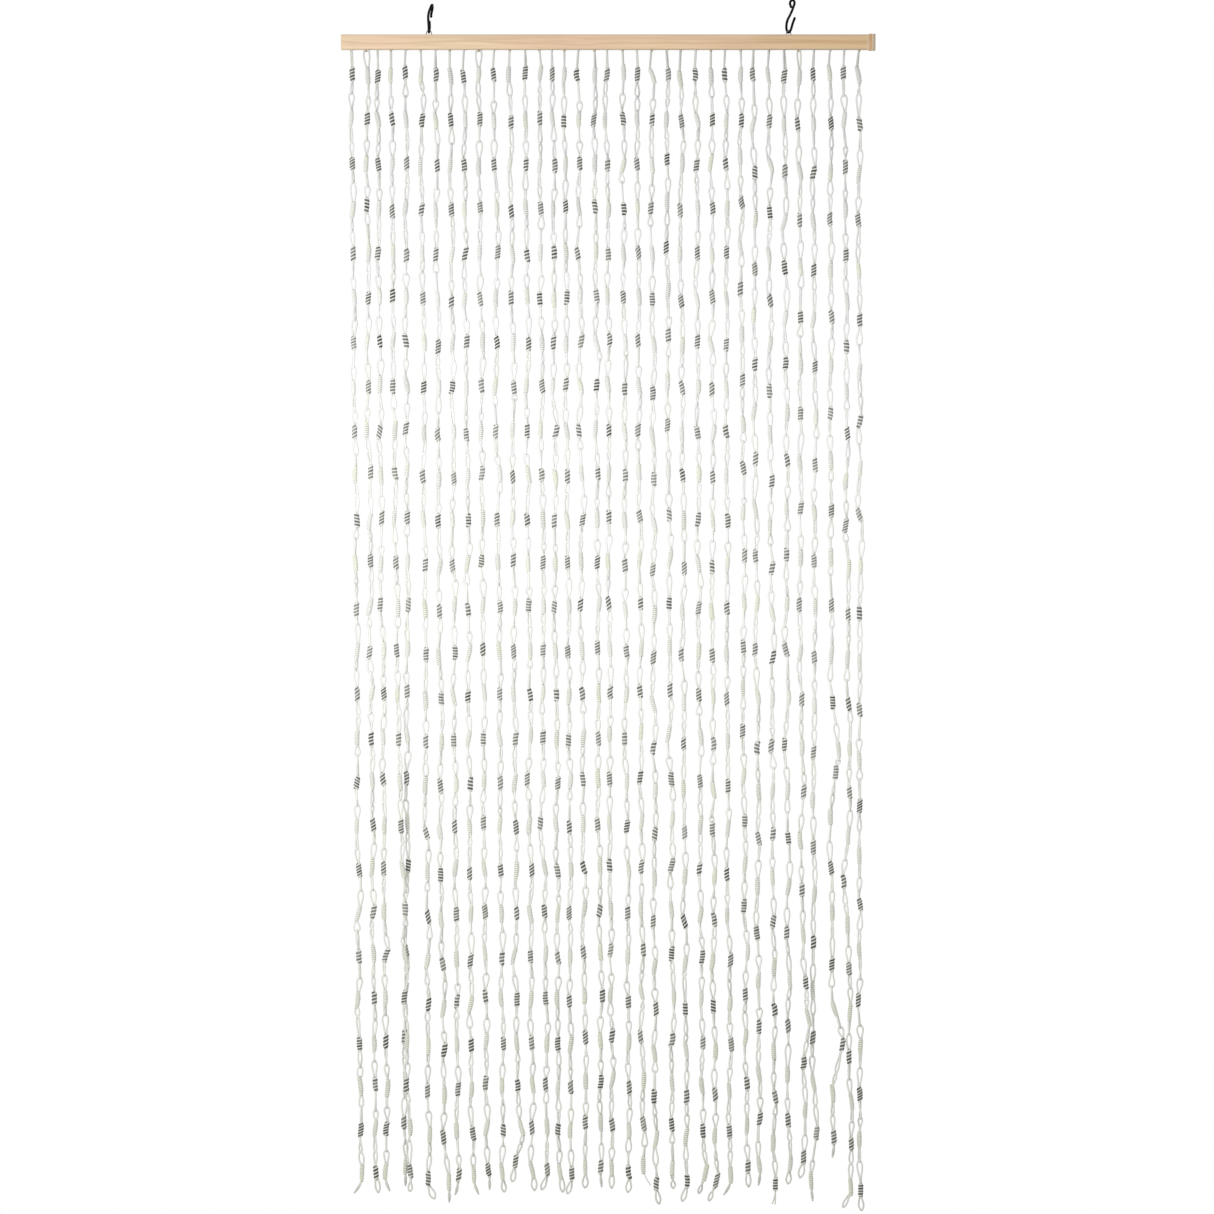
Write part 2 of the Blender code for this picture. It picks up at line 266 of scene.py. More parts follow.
# How far the dark strands fade at the curtain's ends, how much paler they and the loops are halfway
# down, painted light where most light falls on the curtain, that place and its reach, and how much a
# bead differs. Two waves along each strand, which go this many radians to a turn, fade it unevenly.
FADED = 0.3
MIDDLE_PAINTED_LIGHT = 0.26
PAINTED_LIGHT_DROP = 860 * MM
PAINTED_LIGHT_REACH = 560 * MM
FADED_SPREAD = 0.2
FADED_WAVES = (4.4, 9.7)
FADED_WAVE = 0.17

# Coil of a plain bead, thick in the middle and thin at its ends
PLAIN_LENGTH = 29 * MM
PLAIN_TURNS = 9
PLAIN_REACH = 3.45 * MM
PLAIN_END_REACH = 1.6 * MM
PLAIN_THICK = 1.2 * MM
PLAIN_FLATNESS = 1.45
PLAIN_BULGE = 1.0 * MM
PLAIN_STEPS = 8

# Chance in a plain bead: its length, width and bulge as shares, where it is fattest, how full its
# ends are, and its slant and that slant's spread
PLAIN_LENGTHS = (0.9, 1.1)
PLAIN_WIDTHS = (0.88, 1.06)
PLAIN_BULGES = (0.2, 1.0)
PLAIN_SKEWS = (0.7, 1.45)
PLAIN_FULLNESS = (0.15, 0.45)
PLAIN_SLANT = (0.06, 0.1)

# Papers: the colours of a pale and of a dull piece, the warmer, darker painted shade low down,
# where less light falls, and how much of it there is, and how much of the greenish tint
Paper = namedtuple("Paper", "pale dull low low_share green_share")
PAPERS = {
    "loops": Paper((0.83, 0.83, 0.82), (0.50, 0.505, 0.475), (0.66, 0.66, 0.57), 0.4, 0.35),
    "light": Paper((0.80, 0.80, 0.78), (0.68, 0.68, 0.65), (0.64, 0.63, 0.54), 0.4, 0.35),
    "plain": Paper((0.82, 0.825, 0.80), (0.73, 0.74, 0.70), (0.64, 0.64, 0.52), 0.6, 0.75),
}
FIBRE_SHADE = 0.72

# The greenish tint that some of the paper has, and the greyer painted shade just under the batten
GREEN_TINT = (0.80, 0.82, 0.66)
HIGH_SHADE = (0.52, 0.53, 0.50)
HIGH_SHADE_SHARE = 0.22

# Heights between which the painted shade high up and the one low down go from nothing to full
HIGH_SHADE_RANGE = (-0.6, -0.1)
LOW_SHADE_RANGE = (-0.5, -2.0)

# Colours of the dark cord, of the root knots and their specks, and of the tape's threads
DARK_PAPER = (0.06, 0.062, 0.055)
# What the dark cord turns towards where it fades, and where it is paler halfway down as painted light
FADED_AND_LIT_PAPER = (0.30, 0.305, 0.28)
RUBBED_PAPER = (0.3, 0.3, 0.27)
KNOT_BROWN = (0.50, 0.38, 0.27)
KNOT_OLIVE = (0.54, 0.54, 0.46)
KNOT_SPECK = (0.2, 0.16, 0.11)
TAPE = ((0.45, 0.42, 0.34), (0.6, 0.57, 0.48))

# One row for each string, from the left, in millimetres. gap: to the string on its left, or to the
# batten's end. last: the last bead's middle under the batten. swing: how far the loose end below
# that bead is swung to the right. end: the form of that end.
String = namedtuple("String", "gap last swing end")
STRINGS = [String(*row) for row in (
    (17, 1893, -13, "tail"),
    (25, 1889, 3, "loop"),
    (19, 1890, 8, "tail"),
    (23, 1889, -2, "loop"),
    (25, 1880, 0, "tail"),
    (25, 1900, 11, "loop"),
    (25, 1906, 0, "tail"),
    (24, 1894, -5, "tail"),
    (24, 1897, 8, "tail"),
    (25, 1887, 0, "tail"),
    (26, 1891, 3, "loop"),
    (26, 1870, -4, "loop"),
    (26, 1888, 2, "loop"),
    (24, 1888, -10, "loop"),
    (21, 1893, 3, "loop"),
    (21, 1893, -8, "loop"),
    (24, 1883, -1, "loop"),
    (27, 1884, 2, "tail"),
    (21, 1882, 0, "loop"),
    (26, 1893, -3, "loop"),
    (24, 1880, 12, "thread"),
    (25, 1912, 5, "loop"),
    (25, 1888, 2, "loop"),
    (24, 1908, -8, "loop"),
    (26, 1890, -9, "loop"),
    (25, 1905, -11, "loop"),
    (24, 1897, -12, "tail"),
    (26, 1884, 1, "loop"),
    (22, 1882, -3, "tail"),
    (26, 1911, -3, "fork"),
    (25, 1882, -2, "loop"),
    (25, 1866, -6, "loop"),
    (26, 1903, 2, "tail"),
    (27, 1835, -3, "tail"),
    (24, 1918, -13, "loop"),
    (25, 1920, 2, "loop"),
)]
ROOTS = [BATTEN_LEFT + place * MM for place in accumulate(string.gap for string in STRINGS)]

# One row for each place where a string is caught, crossed or doubled back, in millimetres.
# drop: its height under the batten. across and back: the shift there. reach: how far up and down
# the shift is felt. lift: how much shorter the string hangs below it.
Bend = namedtuple("Bend", "string drop across back reach lift")
BENDS = [Bend(*row) for row in (
    (4, 950, -7, 0, 600, 0),
    (4, 1600, 0, -6, 560, 0),
    (5, 1050, 3, 0, 450, 0),
    (5, 1600, 0, 6, 560, 0),
    (7, 1905, 8, 0, 40, 0),
    (10, 1890, 3, 0, 60, 0),
    (12, 1812, 6, 0, 40, 0),
    (12, 1832, 0, 0, 20, 20),
    (12, 1870, -4, 0, 30, 0),
    (13, 1250, -6, 0, 40, 0),
    (13, 1925, -5, 0, 30, 0),
    (14, 1311, -8, 0, 50, 0),
    (23, 120, 0, 0, 30, 12),
    (25, 1890, 6, 0, 40, 0),
    (28, 144, 0, 0, 30, 16),
    (31, 1190, -4, 0, 40, 0),
    (32, 1620, 8, -6, 70, 22),
    (33, 1620, 0, 6, 90, 0),
    (33, 1832, 5, 0, 35, 0),
    (33, 1905, -5, 0, 35, 0),
    (34, 1180, 10, 0, 45, 40),
    (34, 1658, 19, 0, 30, 18),
    (34, 1800, 5, 0, 30, 0),
    (34, 1865, -4, 0, 30, 0),
    (35, 1400, -9, 0, 45, 0),
)]

# Part of the curtain, the node of its strip, and the first and last string on it
STRIPS = (
    ("left", "strings_left", 1, 12),
    ("middle", "strings_middle", 13, 24),
    ("right", "strings_right", 25, 36),
)

# Points that each hook's wire bends through, from the lower tip round to the upper tip, in
# millimetres from the middle of its lower bend: across to the right, back from the front, and up.
HOOK_LINE = {
    "left": (
        (1.2, -9, 18.5), (1.5, -5.8, 9), (0.8, -3.8, 2.4), (0, -1.2, 0),
        (0, 1.2, 0), (-0.5, 3.8, 2.4), (-0.6, 4.5, 9), (-1.2, 2, 20),
        (-0.8, -2.5, 30), (2.6, -5.8, 40), (5.5, -1, 46), (5.6, 4.4, 40),
        (3.7, 4.6, 31), (3.5, 4, 25),
    ),
    "right": (
        (10.5, -9, 24.5), (6.3, -6, 13), (3.5, -3.8, 3.8), (1, -1, 0),
        (-1, 1, 0), (-3, 3.3, 3.8), (-3.5, 3.5, 12), (-2, 2, 20),
        (3, -3, 30), (7.5, -7.8, 41), (9.5, -8.5, 50), (6, -4, 53.5),
        (2.5, 0.9, 50), (4.5, 1.5, 41),
    ),
}

# Camera: level with the curtain's middle, square to it and far back
VIEW_MIDDLE = (-0.002, 0.0, -1.017)
VIEW_WIDTH = 2.0456
VIEW_DISTANCE = 8.0
SENSOR = 36.0

# Lights: what the white surround gives, and panels as (name, place, size, power), all turned to one
# point in the curtain. The strip is wide and low, so that the curtain is palest level with it.
SURROUND_LIGHT = 0.67
LIT_POINT = (0.0, 0.0, -0.86)
LIGHTS = (
    ("left_panel", (-2.0, -1.7, -0.86), (1.0, 1.2), 27.0),
    ("front_strip", (-0.1, -1.2, -0.86), (2.2, 0.25), 8.5),
)

# Floor and its two colours
FLOOR_HEIGHT = -2.14
FLOOR_RADIUS = 0.72
FLOOR_SIDES = 96
FLOOR_THICKNESS = 0.02
FLOOR = ((0.84, 0.84, 0.83), (0.88, 0.88, 0.87))


def new_node(tree, kind, settings=None, **inputs):
    """A shader node with its settings, and its inputs as constants or as links from other nodes."""
    node = tree.nodes.new("ShaderNode" + kind)
    for name, value in (settings or {}).items():
        setattr(node, name, value)
    for name, value in inputs.items():
        set_input(tree, node.inputs[name.replace("_", " ")], value)
    return node


def set_input(tree, socket, value):
    if isinstance(value, bpy.types.NodeSocket):
        tree.links.new(value, socket)
    else:
        socket.default_value = value


def blend_colours(tree, factor, first, second):
    """The colour that goes from the first to the second as the factor goes from 0 to 1."""
    node = new_node(tree, "Mix", {"data_type": "RGBA"})
    set_input(tree, node.inputs[0], factor)
    for socket, value in ((node.inputs[6], first), (node.inputs[7], second)):
        set_input(tree, socket, (*value, 1.0) if isinstance(value, tuple) else value)
    return node.outputs[2]


def remap(tree, value, low, high, new_low=0.0, new_high=1.0):
    """The value moved from one range to another, and held inside the new one."""
    node = new_node(
        tree, "MapRange", Value=value, From_Min=low, From_Max=high, To_Min=new_low, To_Max=new_high)
    return node.outputs["Result"]


def calculate(tree, operation, first, second=0.0):
    """The result of one calculation with one value or two."""
    node = new_node(tree, "Math", {"operation": operation})
    for socket, value in zip(node.inputs, (first, second)):
        set_input(tree, socket, value)
    return node.outputs[0]


def noise(tree, place, scale, detail, **more):
    """Soft random patches, from 0 to 1."""
    return new_node(tree, "TexNoise", Vector=place, Scale=scale, Detail=detail, **more).outputs["Fac"]


def stretch(tree, place, *scale):
    """Coordinates on which a pattern runs long where the scale is small."""
    return new_node(tree, "Mapping", Vector=place, Scale=scale).outputs["Vector"]


def split(tree, place):
    """The parts of a place, by the names of their axes."""
    return new_node(tree, "SeparateXYZ", Vector=place).outputs


def object_place(tree):
    return new_node(tree, "TexCoord").outputs["Object"]


def piece_tone(tree):
    """The tone that each tube of cord was given."""
    return new_node(tree, "Attribute", {"attribute_name": "tone"}).outputs["Fac"]


def new_material(name, roughness, metallic=0.0, gloss=0.5):
    """A material with its node tree and its shader."""
    material = bpy.data.materials.new(name)
    material.use_nodes = True
    tree = material.node_tree
    shader = tree.nodes["Principled BSDF"]
    shader.inputs["Roughness"].default_value = roughness
    shader.inputs["Metallic"].default_value = metallic
    shader.inputs["Specular IOR Level"].default_value = gloss
    return material, tree, shader


def add_colour(tree, shader, colour):
    tree.links.new(colour, shader.inputs["Base Color"])


def add_roughness(tree, shader, pattern, low, high):
    """Roughness that follows a pattern from low to high."""
    tree.links.new(remap(tree, pattern, 0.3, 0.7, low, high), shader.inputs["Roughness"])


def add_bump(tree, shader, height, strength, distance):
    bump = new_node(tree, "Bump", Strength=strength, Distance=distance, Height=height)
    tree.links.new(bump.outputs["Normal"], shader.inputs["Normal"])


def add_lay(tree, shader):
    """The ridges of the cord's plies, which run slantwise round it."""
    around = split(tree, new_node(tree, "UVMap").outputs["UV"])
    lay = calculate(tree, "ADD", around["X"], around["Y"])
    ridges = calculate(tree, "SINE", calculate(tree, "MULTIPLY", lay, 2 * math.pi * PLIES))
    add_bump(tree, shader, ridges, 0.4, 0.25 * MM)


def middle_line(tree, up, patch):
    """How dark the line along the bar's middle is. It waves with the patches."""
    wave = calculate(tree, "MULTIPLY", calculate(tree, "SUBTRACT", patch, 0.5), LINE_WAVE)
    height = calculate(tree, "ADD", calculate(tree, "SUBTRACT", up, BATTEN_MIDDLE - LINE_BELOW), wave)
    return remap(tree, calculate(tree, "ABSOLUTE", height), LINE_CORE, LINE_REACH, LINE_SHARE, 0.0)


def grey_edge(tree, along, up):
    """How grey the bar is near its upper and lower edges, more so towards its right end."""
    half = BATTEN_HEIGHT / 2
    from_middle = calculate(tree, "ABSOLUTE", calculate(tree, "SUBTRACT", up, BATTEN_MIDDLE))
    edge = remap(tree, from_middle, half - EDGE_START, half - EDGE_FULL, 0.0, EDGE_SHARE)
    return calculate(tree, "MULTIPLY", edge, remap(tree, along, 0.0, BATTEN_RIGHT, 1.0, END_GREYER))


def painted_highlight_line(tree, along, place, reach):
    """How much of the painted highlight shows near a joint or a cut at a place along the bar."""
    distance = calculate(tree, "ABSOLUTE", calculate(tree, "SUBTRACT", along, place))
    return remap(tree, distance, 0.4 * reach, reach, HIGHLIGHT_SHARE, 0.0)


def pine_finish():
    """Planed pine: long soft grain, a darker line along the middle, greyer edges, redder patches, painted
    shade towards its right end, a painted highlight by the block.
    """
    material, tree, shader = new_material("planed_pine", 0.58)
    place = object_place(tree)
    axes = split(tree, place)
    along, up = axes["X"], axes["Z"]
    grain = noise(tree, stretch(tree, place, 3.0, 90.0, 90.0), 4.0, 6.0, Roughness=0.62)
    rings = noise(tree, stretch(tree, place, 2.2, 60.0, 60.0), 1.4, 2.0, Distortion=0.6)
    patch = noise(tree, place, 7.0, 1.0)
    # Painted shade: the bar darkens towards its right end, away from the light on the left.
    colour = blend_colours(tree, remap(tree, along, BATTEN_LEFT, BATTEN_RIGHT), PINE_LIT_LEFT, PINE_SHADED_RIGHT)
    for share, tint in (
        (remap(tree, patch, 0.46, 0.64, 0.0, 0.6), PINE_REDDER),
        (remap(tree, grain, 0.34, 0.68, 0.0, 0.35), PINE_GRAIN),
        (remap(tree, rings, 0.45, 0.62, 0.0, 0.3), PINE_RINGS),
        (middle_line(tree, up, patch), PINE_LINE),
        (grey_edge(tree, along, up), PINE_EDGE),
        # Painted highlight along the joint with the block
        (painted_highlight_line(tree, along, BATTEN_RIGHT, HIGHLIGHT_JOINT), PINE_HIGHLIGHT),
    ):
        colour = blend_colours(tree, share, colour, tint)
    add_colour(tree, shader, colour)
    add_roughness(tree, shader, grain, 0.5, 0.68)
    add_bump(tree, shader, grain, 0.35, 0.3 * MM)
    return material


def end_grain_finish():
    """The end block's browner pine, greyer beyond the cut, with a painted highlight along the joint and
    the cut.
    """
    material, tree, shader = new_material("end_block_pine", 0.6)
    place = object_place(tree)
    along = split(tree, place)["X"]
    grain = noise(tree, stretch(tree, place, 60.0, 60.0, 6.0), 9.0, 5.0, Roughness=0.6)
    colour = blend_colours(tree, remap(tree, along, CUT_PLACE - MM, CUT_PLACE), BLOCK_PINE, PINE_EDGE)
    for share, tint in (
        # Painted highlight along the joint and along the cut
        (painted_highlight_line(tree, along, BATTEN_RIGHT, HIGHLIGHT_JOINT), PINE_HIGHLIGHT),
        (painted_highlight_line(tree, along, CUT_PLACE, HIGHLIGHT_CUT), PINE_HIGHLIGHT),
        (remap(tree, grain, 0.35, 0.7, 0.0, 0.4), BLOCK_GRAIN),
    ):
        colour = blend_colours(tree, share, colour, tint)
    add_colour(tree, shader, colour)
    add_bump(tree, shader, grain, 0.3, 0.3 * MM)
    return material


def paper_finish(kind):
    """Twisted paper cord in each piece's own tone, with a greenish tint in places, and painted shade,
    warmer low down on the curtain and greyer near the batten, where less light falls."""
    paper = PAPERS[kind]
    material, tree, shader = new_material("paper_cord_" + kind, 0.88, gloss=0.25)
    place = object_place(tree)
    up = split(tree, place)["Z"]
    fibres = noise(tree, place, 900.0, 2.0)
    colour = blend_colours(tree, piece_tone(tree), paper.pale, paper.dull)
    for share, tint in (
        (remap(tree, noise(tree, place, 26.0, 0.0), 0.5, 0.72, 0.0, paper.green_share), GREEN_TINT),
        # Painted shade: greyer near the batten, darker and warmer low down, where less light falls.
        (remap(tree, up, *HIGH_SHADE_RANGE, 0.0, HIGH_SHADE_SHARE), HIGH_SHADE),
        (remap(tree, up, *LOW_SHADE_RANGE, 0.0, paper.low_share), paper.low),
        (remap(tree, fibres, 0.35, 0.7, 0.0, 0.22), tuple(FIBRE_SHADE * part for part in paper.dull)),
    ):
        colour = blend_colours(tree, share, colour, tint)
    add_colour(tree, shader, colour)
    add_lay(tree, shader)
    return material


def dark_paper_finish():
    """Dark charcoal paper cord, paler where it fades, paler halfway down as painted light, and rubbed
    paler in places.
    """
    material, tree, shader = new_material("dark_paper_cord", 0.8, gloss=0.3)
    fibres = noise(tree, object_place(tree), 700.0, 2.0)
    colour = blend_colours(tree, piece_tone(tree), DARK_PAPER, FADED_AND_LIT_PAPER)
    colour = blend_colours(tree, remap(tree, fibres, 0.5, 0.75, 0.0, 0.25), colour, RUBBED_PAPER)
    add_colour(tree, shader, colour)
    add_lay(tree, shader)
    return material


def knot_finish():
    """Brown and olive cord at the roots, dulled by glue."""
    material, tree, shader = new_material("root_knot_cord", 0.7)
    fibres = noise(tree, object_place(tree), 500.0, 3.0)
    colour = blend_colours(tree, piece_tone(tree), KNOT_BROWN, KNOT_OLIVE)
    colour = blend_colours(tree, remap(tree, fibres, 0.35, 0.7, 0.0, 0.4), colour, KNOT_SPECK)
    add_colour(tree, shader, colour)
    add_bump(tree, shader, fibres, 0.4, 0.3 * MM)
    return material


def tape_finish():
    """The pale tape in the groove: fine cross threads."""
    material, tree, shader = new_material("root_tape", 0.85)
    wave = new_node(
        tree, "TexWave", {"bands_direction": "X"}, Vector=object_place(tree), Scale=260.0, Distortion=1.0)
    threads = wave.outputs["Fac"]
    add_colour(tree, shader, blend_colours(tree, threads, *TAPE))
    add_bump(tree, shader, threads, 0.4, 0.2 * MM)
    return material


def enamel_finish():
    """Black enamel on wire, thinner and greyer where it is rubbed."""
    material, tree, shader = new_material("black_enamel", 0.55, gloss=0.06)
    wear = noise(tree, object_place(tree), 420.0, 3.0)
    add_colour(tree, shader, blend_colours(tree, remap(tree, wear, 0.55, 0.8), *ENAMEL))
    add_roughness(tree, shader, wear, 0.45, 0.6)
    add_bump(tree, shader, wear, 0.15, 0.1 * MM)
    return material


def steel_finish():
    """Bright drawn wire with fine lines along it."""
    material, tree, shader = new_material("bright_steel", 0.32, 1.0)
    marks = noise(tree, object_place(tree), 600.0, 3.0)
    add_colour(tree, shader, blend_colours(tree, marks, *STEEL))
    add_roughness(tree, shader, marks, 0.25, 0.42)
    add_bump(tree, shader, marks, 0.1, 0.05 * MM)
    return material


def add_object(name, data):
    item = bpy.data.objects.new(name, data)
    bpy.context.scene.collection.objects.link(item)
    return item


class Heap:
    """Gathers many small closed tubes of cord into one mesh, with a tone and a strip of UVs each."""

    def __init__(self):
        self.points, self.tones, self.faces, self.corners = [], [], [], []
        self.count = 0

    def add(self, rings, tones, lengths):
        """rings: one tube, as rows of points from end to end. lengths: the way along it, in metres."""
        number, sides = rings.shape[:2]
        base = self.count
        self.points += [rings.reshape(-1, 3), np.array([rings[0].mean(0), rings[-1].mean(0)])]
        self.tones += [np.repeat(tones, sides), np.array([tones[0], tones[-1]])]
        along = lengths / LAY_LENGTH
        for row in range(number - 1):
            here, there = base + row * sides, base + (row + 1) * sides
            for side in range(sides):
                after = (side + 1) % sides
                self.faces.append((here + side, there + side, there + after, here + after))
                low, high = side / sides, (side + 1) / sides
                self.corners += (
                    along[row], low, along[row + 1], low, along[row + 1], high, along[row], high)
        middle = base + number * sides
        for row, tip, step in ((0, middle, 1), (number - 1, middle + 1, -1)):
            start = base + row * sides
            for side in range(sides):
                pair = (start + side, start + (side + 1) % sides)[::step]
                self.faces.append((tip, *pair))
                self.corners += (along[row], 0.5, along[row], side / sides, along[row], (side + 1) / sides)
        self.count += number * sides + 2

    def make(self, name, material):
        """All the tubes as one piece."""
        mesh = bpy.data.meshes.new(name)
        mesh.from_pydata(np.concatenate(self.points).tolist(), [], self.faces)
        tone = mesh.attributes.new("tone", "FLOAT", "POINT")
        tone.data.foreach_set("value", np.concatenate(self.tones).astype(np.float32))
        layer = mesh.uv_layers.new(name="UVMap")
        layer.data.foreach_set("uv", np.array(self.corners, np.float32))
        mesh.materials.append(material)
        mesh.shade_smooth()
        piece = add_object(name, mesh)
        turn_faces_out(piece)
        return piece


def select_only(item):
    bpy.ops.object.select_all(action="DESELECT")
    item.select_set(True)
    bpy.context.view_layer.objects.active = item


def edit_mesh(item, step, **settings):
    """Takes one step of mesh editing with the whole of a piece."""
    select_only(item)
    bpy.ops.object.mode_set(mode="EDIT")
    bpy.ops.mesh.select_all(action="SELECT")
    step(**settings)
    bpy.ops.object.mode_set(mode="OBJECT")


def turn_faces_out(item):
    edit_mesh(item, bpy.ops.mesh.normals_make_consistent, inside=False)


def shade(item, sharp):
    """Shades a piece smoothly, but for edges that turn by more than sharp degrees."""
    item.data.shade_smooth()
    item.data.set_sharp_from_angle(angle=math.radians(sharp))


def keep(item, slot, *nodes):
    """Hands a finished piece over: it rides on the one body and stands for its nodes."""
    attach(item, "root")
    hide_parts(*nodes)


def bend_share(drop, bend):
    """How much of a bend is felt at a height under the batten."""
    return 1 / (1 + ((drop - bend.drop * MM) / (bend.reach * MM)) ** 4)


def lean(number):
    """How far a string has moved to the right near its lower end."""
    if number in OWN_LEAN:
        return OWN_LEAN[number] * MM
    return LEAN_LEFT + (LEAN_RIGHT - LEAN_LEFT) * (number - 1) / (len(STRINGS) - 1)


def hang_point(number, drop):
    """Where a string runs at a height under the batten."""
    place = Vector((ROOTS[number - 1] + lean(number) * drop / LEAN_DROP, 0.0, BATTEN_BOTTOM - drop))
    for bend in BENDS:
        if bend.string == number:
            place += Vector((bend.across, bend.back, 0.0)) * MM * bend_share(drop, bend)
    return place


def bead_drops(number):
    """How far under the batten each bead's middle hangs, from the top down."""
    beads = FEW_LINKS if number in LONG_LINKED else LINKS
    own_bends = [bend for bend in BENDS if bend.string == number]
    unlifted = (STRINGS[number - 1].last + sum(bend.lift for bend in own_bends)) * MM
    drops = []
    for bead in range(beads):
        share = bead / (beads - 1)
        drop = FIRST_DROP + (unlifted - FIRST_DROP) * share + UPPER_PULL * 4 * share * (1 - share)
        for bend in own_bends:
            if drop > bend.drop * MM:
                drop -= bend.lift * MM
        drops.append(drop)
    return drops


def bead_ends(number):
    """The top and bottom of each bead on a string, from its root down."""
    chance = random.Random(number)
    ends = []
    for drop in bead_drops(number):
        across = chance.gauss(0.0, JITTER_ACROSS)
        back = chance.gauss(0.0, JITTER_DEPTH)
        tilt = chance.gauss(0.0, JITTER_TILT)
        drop += chance.gauss(0.0, JITTER_DROP)
        middle = hang_point(number, drop) + Vector((across, back, 0.0))
        way = hang_point(number, drop + SLOPE_SPAN) - hang_point(number, drop - SLOPE_SPAN)
        half = way.normalized() * BEAD_LENGTH / 2 + Vector((tilt, 0.0, 0.0))
        ends.append((middle - half, middle + half))
    return ends


def smooth(share):
    """A share eased at both its ends."""
    return share * share * (3 - 2 * share)


def circle(sides):
    return 2 * math.pi * np.arange(sides) / sides


def ways_along(points):
    """The direction of a line at each of its points."""
    ways = np.gradient(points, axis=0)
    return ways / np.linalg.norm(ways, axis=1)[:, None]


def add_tube(heap, points, out, deep, reach, tone):
    """A round cord along its points. out and deep are the two ways across it at each of them."""
    turns = circle(LOOP_SIDES)[None, :, None]
    rings = points[:, None] + reach[:, None, None] * (
        out[:, None] * np.cos(turns) + deep[:, None] * np.sin(turns))
    steps = np.linalg.norm(np.diff(points, axis=0), axis=1)
    heap.add(rings, np.full(len(points), tone), np.concatenate(([0.0], np.cumsum(steps))))


def loop_outline(length, width, opening):
    """One cord loop, flat: (along, across) from one leg round the end to the other leg. It is a
    teardrop, and the larger its opening, the nearer its widest place lies to its round end."""
    leg = []
    for step in range(LOOP_STEPS):
        share = math.sin(math.pi / 2 * step / LOOP_STEPS)
        swell = math.sin(math.pi * share ** opening) ** LOOP_SWELL
        leg.append((length * share, LEG_APART * (1 - share) + width / 2 * swell))
    back = [(along, -across) for along, across in reversed(leg)]
    return np.array(leg + [(length, 0.0)] + back)


def add_loop(heap, start, tip, angle, twist, width, opening, tone):
    """A teardrop loop of cord: two legs out of a bead at start, joined by a round end at tip.
    angle: which way the round end faces. twist: how much further the legs are turned at the bead."""
    way = tip - start
    length = way.length
    axis = way / length
    level = Vector((1.0, 0.0, 0.0))
    side = (level - axis * level.dot(axis)).normalized()
    axis, side, deep, start = (np.array(part) for part in (axis, side, axis.cross(side), start))
    outline = loop_outline(length, min(width, length * LOOP_WIDEST), opening)
    facing = angle + twist * (1 - smooth(outline[:, :1] / outline[:, 0].max()))
    side, deep = (
        np.cos(facing) * side + np.sin(facing) * deep, np.cos(facing) * deep - np.sin(facing) * side)
    ways = ways_along(outline)
    points = start + outline[:, :1] * axis + outline[:, 1:] * side
    out = ways[:, :1] * side - ways[:, 1:] * axis
    add_tube(heap, points, out, deep, np.full(len(points), CORD / 2), tone)


def add_strand(heap, points, thickness, tone):
    """A plain cord along its points, a little thinner at its tip."""
    points = np.array(points)
    ways = ways_along(points)
    out = np.cross(ways, (0.0, 1.0, 0.0))
    out /= np.linalg.norm(out, axis=1)[:, None]
    reach = np.full(len(points), thickness / 2)
    reach[-1] *= LOOSE_TIP
    add_tube(heap, points, out, np.cross(ways, out), reach, tone)


def middle_share(height):
    """1 at the height that most light falls on, and nothing far above and below it."""
    return math.exp(-((BATTEN_BOTTOM - height - PAINTED_LIGHT_DROP) / PAINTED_LIGHT_REACH) ** 2)


# A strand's way round a bead. reach and thick change with the share of the way up, wide is how many
# times as broad as thick the strand is, and bulge how far the coil's middle stands to the right.
Wind = namedtuple("Wind", "length turns phase hand slant reach thick wide bulge steps sides")


def add_coil(heap, bottom, top, wind, tones):
    """A strand wound round the middle line of a bead."""
    middle = np.array((bottom + top) / 2)
    axis = (top - bottom).normalized()
    side = (Vector((1, 0, 0)) - axis * axis.x).normalized()
    deep = axis.cross(side)
    axis, side, deep = (np.array(part) for part in (axis, side, deep))
    share = np.linspace(0.0, 1.0, max(2, round(wind.turns * wind.steps)) + 1)
    angle = wind.hand * (wind.phase + 2 * math.pi * wind.turns * share)
    reach = wind.reach(share)
    thick = wind.thick(share)
    turns = circle(wind.sides)
    out = reach[:, None] + thick[:, None] * np.cos(turns)[None]
    x = out * np.cos(angle)[:, None] + (wind.bulge * np.sin(math.pi * share))[:, None]
    y = out * np.sin(angle)[:, None]
    rise = (wind.length * (share - 0.5))[:, None] + (wind.wide * thick)[:, None] * np.sin(turns)[None]
    rise = rise + wind.slant * x
    rings = middle + x[..., None] * side + y[..., None] * deep + rise[..., None] * axis
    heap.add(rings, tones(share), 2 * math.pi * reach.mean() * wind.turns * share)


def ends_in(share, depth, span):
    """1 along the middle of a strand, falling to depth at its two ends, each a span long."""
    edge = np.clip(np.minimum(share, 1 - share) / span, 0.0, 1.0)
    return depth + (1 - depth) * np.sin(edge * math.pi / 2)


def one_tone(tone):
    """A strand's tones when they are all the same."""
    return lambda share: np.full(len(share), tone)


